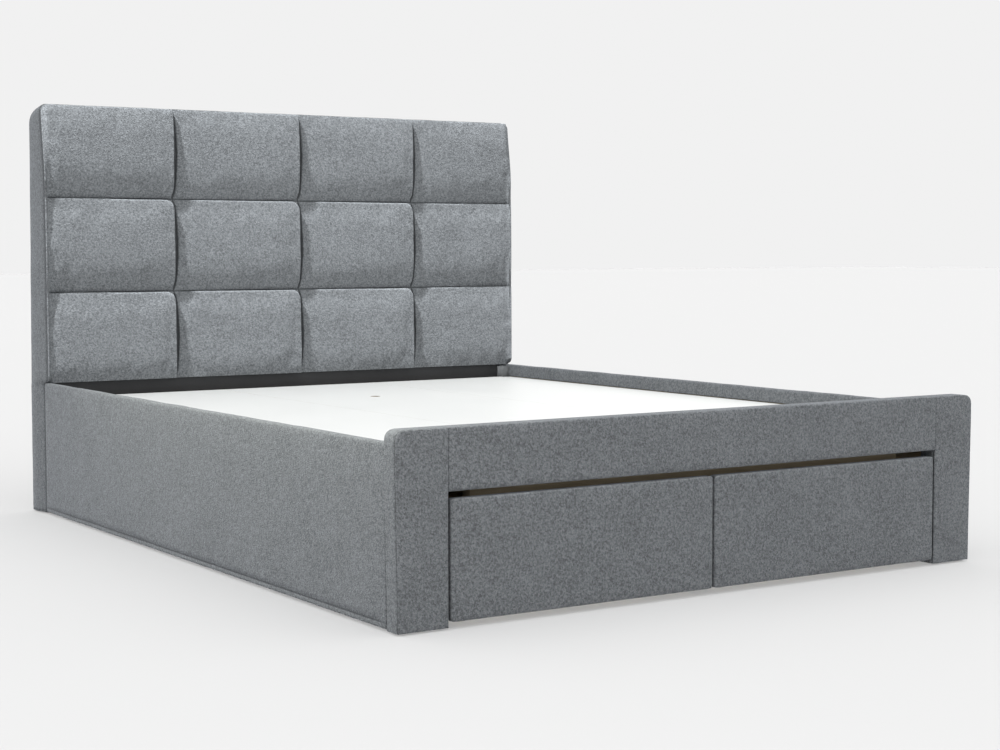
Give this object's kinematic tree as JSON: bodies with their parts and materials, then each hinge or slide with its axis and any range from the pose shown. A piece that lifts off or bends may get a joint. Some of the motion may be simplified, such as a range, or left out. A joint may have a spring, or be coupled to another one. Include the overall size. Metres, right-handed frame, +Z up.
{
  "type": "platform bed",
  "caption": "Upholstered platform bed with a quilted headboard, padded rails, a white slab deck and rolling drawers in the foot end, opened by a finger slot.",
  "frame": {"origin": "centre of the bed's footprint, on the floor", "axes": "+X across the bed to the right seen from the foot, +Y from the foot to the head, +Z up"},
  "size_m": [1.64, 2.202, 1.21],
  "materials": {
    "grey_fabric": "soft mottled chenille weave",
    "charcoal_cloth": "matt non-woven",
    "timber": "sawn softwood",
    "plywood": "bare plywood",
    "white_laminate": "glossy white laminate",
    "steel": "zinc plated",
    "white_plastic": "moulded",
    "grey_plastic": "moulded"
  },
  "bodies": {
    "bed_frame": {"headboard_post_left": "timber", "headboard_glide_left": "white_plastic", "headboard_post_right": "timber", "headboard_glide_right": "white_plastic", "headboard_top_rail": "timber", "headboard_bottom_rail": "timber", "headboard_board": "plywood", "headboard_quilted_front": "grey_fabric", "headboard_border": "grey_fabric", "headboard_lower_cloth": "charcoal_cloth", "headboard_back_cloth": "charcoal_cloth", "side_rail_board_left": "plywood", "side_rail_board_right": "plywood", "side_rail_cover_left": "grey_fabric", "side_rail_cover_right": "grey_fabric", "side_ledger_left": "timber", "side_ledger_right": "timber", "corner_bracket_left": "steel", "corner_bracket_right": "steel", "footboard_post_core_left": "timber", "footboard_post_core_right": "timber", "footboard_post_cover_left": "grey_fabric", "footboard_post_cover_right": "grey_fabric", "footboard_glide_left": "white_plastic", "footboard_glide_right": "white_plastic", "footboard_rail_core": "timber", "footboard_rail_cover": "grey_fabric", "footboard_ledger": "plywood", "head_ledger": "timber", "deck_panel_left": "white_laminate", "deck_panel_right": "white_laminate", "deck_beam_left": "timber", "deck_beam_right": "timber", "deck_beam_leg_left": "timber", "deck_beam_leg_right": "timber"},
    "deck_hatch": {"deck_panel_centre": "white_laminate"},
    "drawer_left": {"drawer_left_front_cover": "grey_fabric", "drawer_left_front_board": "plywood", "drawer_left_side_left": "plywood", "drawer_left_side_right": "plywood", "drawer_left_bottom": "plywood", "drawer_left_back": "plywood", "drawer_left_axle_front": "steel", "drawer_left_axle_rear": "steel"},
    "drawer_left_wheel_front_left": {"drawer_left_wheel_front_left": "grey_plastic"},
    "drawer_left_wheel_front_right": {"drawer_left_wheel_front_right": "grey_plastic"},
    "drawer_left_wheel_rear_left": {"drawer_left_wheel_rear_left": "grey_plastic"},
    "drawer_left_wheel_rear_right": {"drawer_left_wheel_rear_right": "grey_plastic"},
    "drawer_right": {"drawer_right_front_cover": "grey_fabric", "drawer_right_front_board": "plywood", "drawer_right_side_left": "plywood", "drawer_right_side_right": "plywood", "drawer_right_bottom": "plywood", "drawer_right_back": "plywood", "drawer_right_axle_front": "steel", "drawer_right_axle_rear": "steel"},
    "drawer_right_wheel_front_left": {"drawer_right_wheel_front_left": "grey_plastic"},
    "drawer_right_wheel_front_right": {"drawer_right_wheel_front_right": "grey_plastic"},
    "drawer_right_wheel_rear_left": {"drawer_right_wheel_rear_left": "grey_plastic"},
    "drawer_right_wheel_rear_right": {"drawer_right_wheel_rear_right": "grey_plastic"}
  },
  "joints": [
    {"name": "deck_hatch_lift", "type": "slide", "parent": "bed_frame", "child": "deck_hatch", "axis": [0, 0, 1], "range_m": [0, 0.3]},
    {"name": "drawer_left_slide", "type": "slide", "parent": "bed_frame", "child": "drawer_left", "axis": [0, -1, 0], "range_m": [0, 0.5]},
    {"name": "drawer_left_wheel_front_left_spin", "type": "hinge", "parent": "drawer_left", "child": "drawer_left_wheel_front_left", "pos_m": [-0.673, -1.0207, 0.022], "axis": [1, 0, 0], "continuous": true},
    {"name": "drawer_left_wheel_front_right_spin", "type": "hinge", "parent": "drawer_left", "child": "drawer_left_wheel_front_right", "pos_m": [-0.024, -1.0207, 0.022], "axis": [1, 0, 0], "continuous": true},
    {"name": "drawer_left_wheel_rear_left_spin", "type": "hinge", "parent": "drawer_left", "child": "drawer_left_wheel_rear_left", "pos_m": [-0.673, -0.5407, 0.022], "axis": [1, 0, 0], "continuous": true},
    {"name": "drawer_left_wheel_rear_right_spin", "type": "hinge", "parent": "drawer_left", "child": "drawer_left_wheel_rear_right", "pos_m": [-0.024, -0.5407, 0.022], "axis": [1, 0, 0], "continuous": true},
    {"name": "drawer_right_slide", "type": "slide", "parent": "bed_frame", "child": "drawer_right", "axis": [0, -1, 0], "range_m": [0, 0.5]},
    {"name": "drawer_right_wheel_front_left_spin", "type": "hinge", "parent": "drawer_right", "child": "drawer_right_wheel_front_left", "pos_m": [0.024, -1.0207, 0.022], "axis": [1, 0, 0], "continuous": true},
    {"name": "drawer_right_wheel_front_right_spin", "type": "hinge", "parent": "drawer_right", "child": "drawer_right_wheel_front_right", "pos_m": [0.673, -1.0207, 0.022], "axis": [1, 0, 0], "continuous": true},
    {"name": "drawer_right_wheel_rear_left_spin", "type": "hinge", "parent": "drawer_right", "child": "drawer_right_wheel_rear_left", "pos_m": [0.024, -0.5407, 0.022], "axis": [1, 0, 0], "continuous": true},
    {"name": "drawer_right_wheel_rear_right_spin", "type": "hinge", "parent": "drawer_right", "child": "drawer_right_wheel_rear_right", "pos_m": [0.673, -0.5407, 0.022], "axis": [1, 0, 0], "continuous": true}
  ],
  "couplings": [
    {"joint": "drawer_left_wheel_front_left_spin", "follows": "drawer_left_slide", "rad_per_m": 45.455},
    {"joint": "drawer_left_wheel_front_right_spin", "follows": "drawer_left_slide", "rad_per_m": 45.455},
    {"joint": "drawer_left_wheel_rear_left_spin", "follows": "drawer_left_slide", "rad_per_m": 45.455},
    {"joint": "drawer_left_wheel_rear_right_spin", "follows": "drawer_left_slide", "rad_per_m": 45.455},
    {"joint": "drawer_right_wheel_front_left_spin", "follows": "drawer_right_slide", "rad_per_m": 45.455},
    {"joint": "drawer_right_wheel_front_right_spin", "follows": "drawer_right_slide", "rad_per_m": 45.455},
    {"joint": "drawer_right_wheel_rear_left_spin", "follows": "drawer_right_slide", "rad_per_m": 45.455},
    {"joint": "drawer_right_wheel_rear_right_spin", "follows": "drawer_right_slide", "rad_per_m": 45.455}
  ]
}
